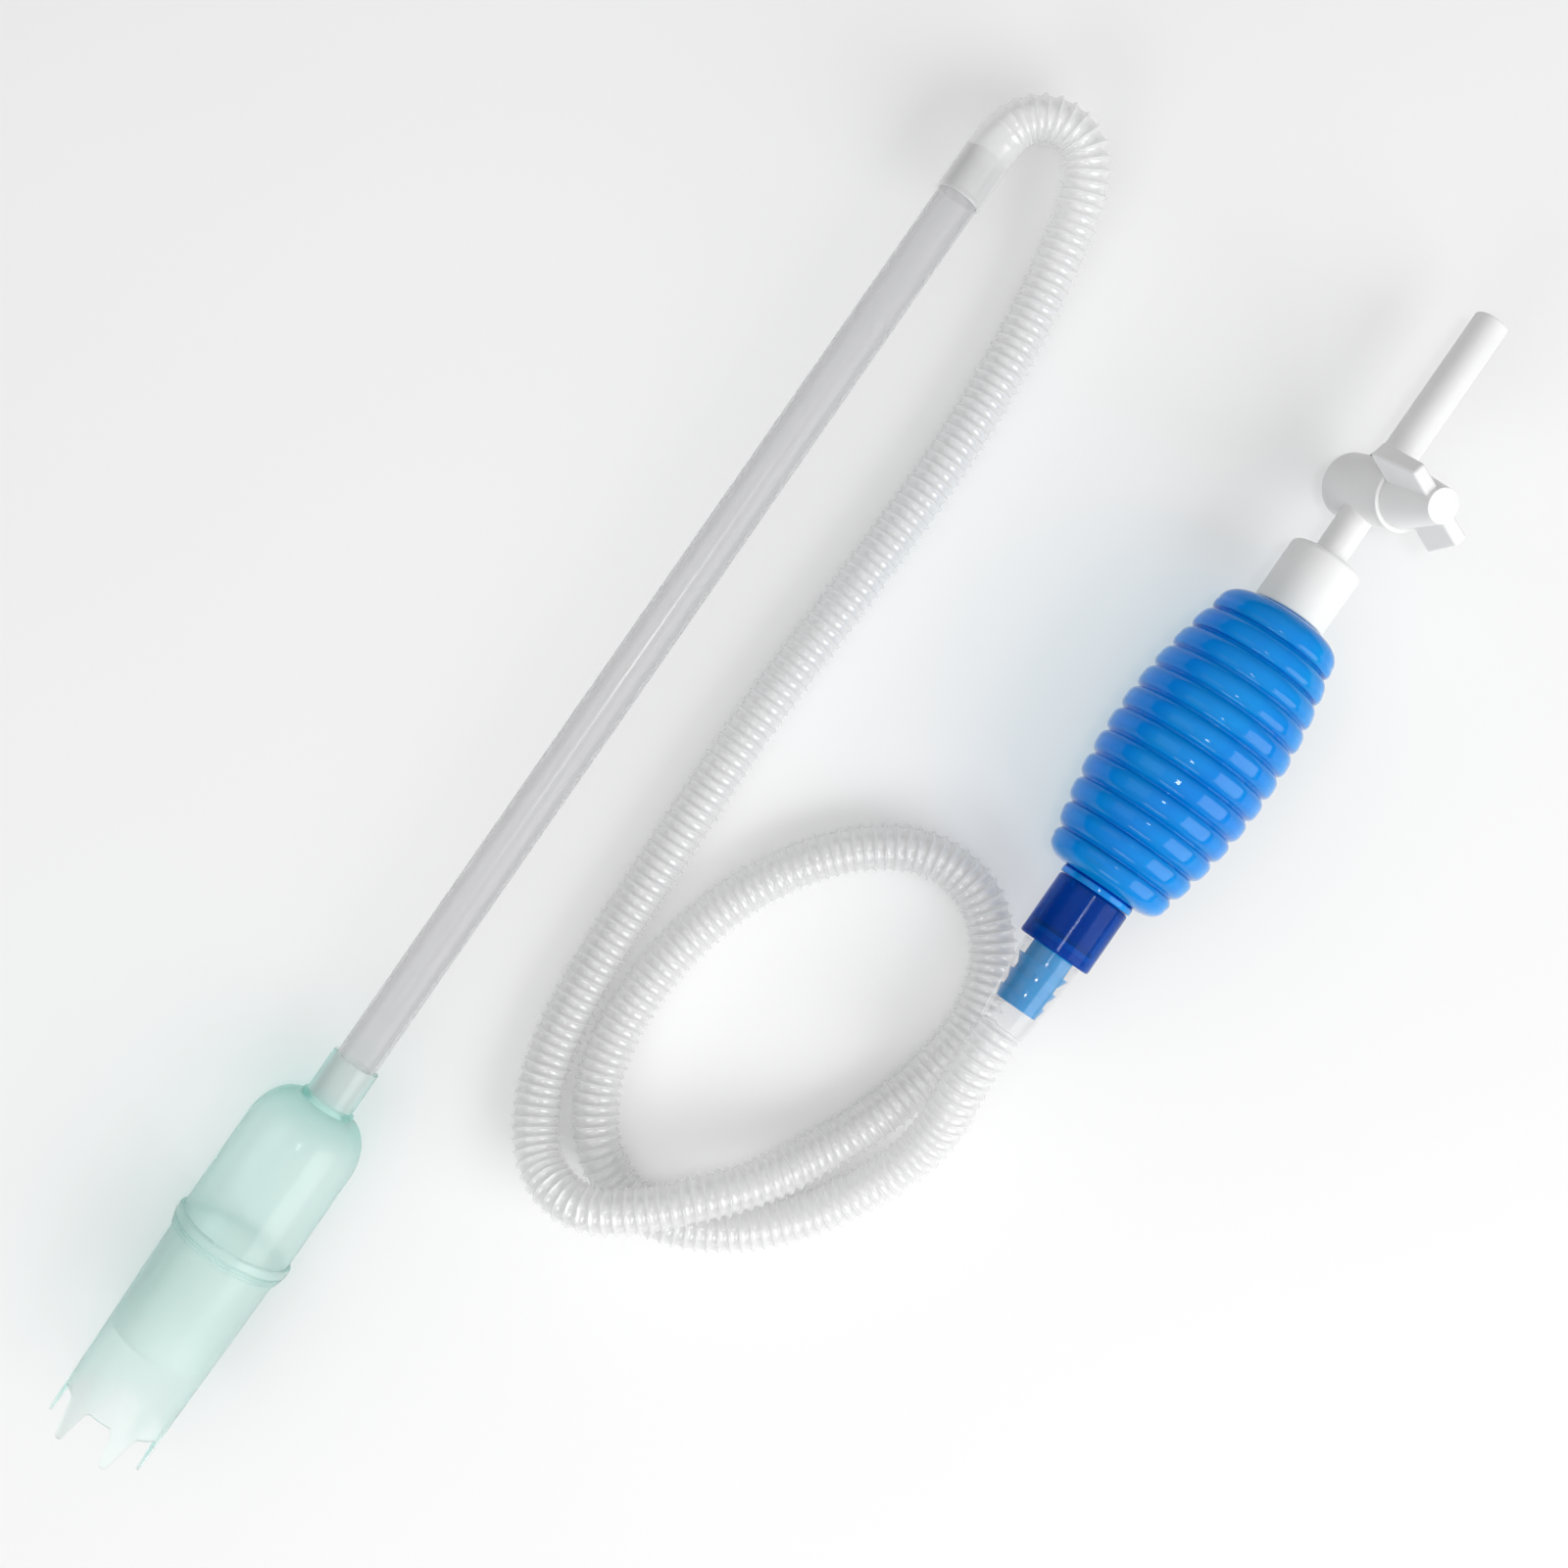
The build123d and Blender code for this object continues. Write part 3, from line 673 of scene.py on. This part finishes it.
def bulb_pvc():
    """Glossy translucent blue PVC with faint flow marks, and painted shade that darkens its colour
    down in its grooves.
    """
    n = Nodes("bulb_pvc")
    flow = n.noise(45, 4, (1, 0.35, 1), 0.6)
    crest = n.blend(n.spread(flow, 0, 1), (0.0, 0.37, 0.98), (0.0, 0.48, 1.0))
    values = {
        # painted shade: the base colour turns dark blue down in the grooves, where ambient
        # occlusion finds the surface shut in
        "Base Color": n.blend(n.groove_shade_mask(0.0026, 0.42, 0.78), (0.0, 0.03, 0.40), crest),
        "Roughness": n.spread(n.noise(240, 3), 0.03, 0.07),
        "IOR": 1.28,
        "Transmission Weight": 0.52,
        "Coat Weight": 0.2,
        "Coat Roughness": 0.03,
        "Normal": n.bump(n.noise(160, 3), 0.00003, 0.3),
    }
    body = n.add("ShaderNodeBsdfPrincipled", values).outputs[0]
    n.absorb((0.0, 0.68, 0.97), 90.0)
    return n.finish(n.let_light_through(body, (0.875, 0.878, 0.885)))


def blue_plastic(name, first, second, through, density):
    """Clear coloured moulded plastic with a smooth gloss."""
    n = Nodes(name)
    flow = n.noise(70, 3, (1, 0.5, 1))
    values = {
        "Base Color": n.blend(n.spread(flow, 0, 1), first, second),
        "Roughness": n.spread(n.noise(300, 3), 0.08, 0.14),
        "IOR": 1.2,
        "Transmission Weight": through,
        "Normal": n.bump(n.noise(220, 2), 0.00002, 0.25),
    }
    body = n.add("ShaderNodeBsdfPrincipled", values).outputs[0]
    n.absorb(second, density)
    return n.finish(n.let_light_through(body, (0.875, 0.878, 0.885)))


GRAIN_SCALE = 900.0
GRAIN_DEPTH = 0.00003


def solid_plastic(name, first, second, rough, soft=0.0):
    """Opaque moulded plastic or rubber: mottled colour, uneven gloss and a fine grain."""
    n = Nodes(name)
    patches = n.noise(35, 4)
    values = {
        "Base Color": n.blend(n.spread(patches, 0, 1), first, second),
        "Roughness": n.spread(n.noise(400, 3), rough[0], rough[1]),
        "Subsurface Weight": soft,
        "Subsurface Radius": (0.004, 0.004, 0.004),
        "Subsurface Scale": 0.4,
        "Normal": n.bump(n.noise(GRAIN_SCALE, 3), GRAIN_DEPTH, 0.5),
    }
    return n.finish(n.add("ShaderNodeBsdfPrincipled", values).outputs[0])


materials = {
    "mint_plastic": mint_plastic(),
    "clear_tube": clear_tube(),
    "hose_pvc": hose_pvc(),
    "soft_cuff": soft_cuff(),
    "light_blue_plastic": blue_plastic(
        "light_blue_plastic", (0.0, 0.27, 0.62), (0.0, 0.32, 0.69), through=0.2, density=60.0
    ),
    "blue_plastic": blue_plastic(
        "blue_plastic", (0.0, 0.08, 0.46), (0.0, 0.13, 0.56), through=0.72, density=60.0
    ),
    "seat_plastic": solid_plastic(
        "seat_plastic", (0.70, 0.71, 0.72), (0.76, 0.77, 0.78), rough=(0.4, 0.5)
    ),
    "seal_rubber": solid_plastic(
        "seal_rubber", (0.02, 0.02, 0.022), (0.035, 0.035, 0.038), rough=(0.5, 0.65)
    ),
    "red_rubber": solid_plastic(
        "red_rubber", (0.50, 0.02, 0.03), (0.58, 0.04, 0.04), rough=(0.35, 0.5)
    ),
    "bulb_pvc": bulb_pvc(),
    "white_plastic": solid_plastic(
        "white_plastic", (0.81, 0.81, 0.81), (0.85, 0.85, 0.85), rough=(0.34, 0.46), soft=0.15
    ),
    "plug_plastic": solid_plastic(
        "plug_plastic", (0.74, 0.74, 0.73), (0.79, 0.79, 0.78), rough=(0.38, 0.5)
    ),
}
node_slots = {part["node"]: part["material_slot"] for part in frame["record"]["subparts"]}
for node_name, node in frame["nodes"].items():
    node.data.materials.clear()
    node.data.materials.append(materials[node_slots[node_name]])
for piece in (hose, wand_cuff, pump_cuff, tube, bulb):
    piece.data.materials.append(materials[piece["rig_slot"]])

# ---- floor, lights and surroundings ----
FLOOR_HALF = 1.6
PALE_BACKDROP = 0.86


def make_floor():
    """A pale floor that ends before the key lamp, so that all of it is lit."""
    floor = place_mesh(
        "floor",
        [
            (-FLOOR_HALF, -FLOOR_HALF, 0),
            (FLOOR_HALF, -FLOOR_HALF, 0),
            (FLOOR_HALF, FLOOR_HALF, 0),
            (-FLOOR_HALF, FLOOR_HALF, 0),
        ],
        [(0, 1, 2, 3)],
    )
    n = Nodes("floor")
    clouds = n.spread(n.noise(3, 2), 0, 1)
    values = {
        "Base Color": n.blend(clouds, (0.91, 0.91, 0.91), (0.93, 0.93, 0.93)),
        "Roughness": 0.7,
    }
    floor.data.materials.append(n.finish(n.add("ShaderNodeBsdfPrincipled", values).outputs[0]))


def softbox(name, place, aim, width, height, power):
    """A rectangular lamp at a place, turned towards the point it aims at."""
    lamp = bpy.data.lights.new(name, "AREA")
    lamp.shape = "RECTANGLE"
    lamp.size = width
    lamp.size_y = height
    lamp.energy = power
    holder = bpy.data.objects.new(name, lamp)
    holder.location = place
    holder.rotation_euler = (Vector(aim) - Vector(place)).to_track_quat("-Z", "Y").to_euler()
    bpy.context.scene.collection.objects.link(holder)


def make_surroundings(brightest, darkest, low, high):
    """Light from all round: strong from overhead, weak at the horizon. The camera sees it pale."""
    world = bpy.data.worlds.new("studio")
    world.use_nodes = True
    tree = world.node_tree
    tree.nodes.clear()
    direction = tree.nodes.new("ShaderNodeTexCoord").outputs["Generated"]
    facing = tree.nodes.new("ShaderNodeVectorMath")
    facing.operation = "DOT_PRODUCT"
    facing.inputs[1].default_value = brightest
    tree.links.new(direction, facing.inputs[0])
    ramp = tree.nodes.new("ShaderNodeMapRange")
    ramp.inputs["From Min"].default_value = darkest
    ramp.inputs["From Max"].default_value = 1.0
    ramp.inputs["To Min"].default_value = low
    ramp.inputs["To Max"].default_value = high
    tree.links.new(facing.outputs["Value"], ramp.inputs["Value"])
    seen = tree.nodes.new("ShaderNodeLightPath").outputs["Is Camera Ray"]
    strength = tree.nodes.new("ShaderNodeMix")
    strength.inputs["B"].default_value = PALE_BACKDROP
    tree.links.new(seen, strength.inputs["Factor"])
    tree.links.new(ramp.outputs[0], strength.inputs["A"])
    background = tree.nodes.new("ShaderNodeBackground")
    background.inputs["Color"].default_value = (1, 1, 1, 1)
    tree.links.new(strength.outputs["Result"], background.inputs["Strength"])
    output = tree.nodes.new("ShaderNodeOutputWorld")
    tree.links.new(background.outputs[0], output.inputs["Surface"])
    bpy.context.scene.world = world


make_floor()
make_surroundings(brightest=(0.22, -0.10, 0.97), darkest=-0.05, low=0.08, high=0.80)
softbox("key", (1.7, -0.1, 1.0), (0, 0, 0.02), width=1.7, height=1.6, power=24.0)
softbox("overhead", (0.06, 0.05, 1.3), (0.06, 0.05, 0), width=0.12, height=0.12, power=1.2)
softbox("front", (0.05, -1.3, 0.9), (0.05, 0, 0.02), width=0.9, height=0.5, power=4.0)
softbox("left", (-0.85, 0.0, 1.1), (0, 0, 0.02), width=0.8, height=0.9, power=1.0)
bpy.context.scene.view_settings.view_transform = "Standard"
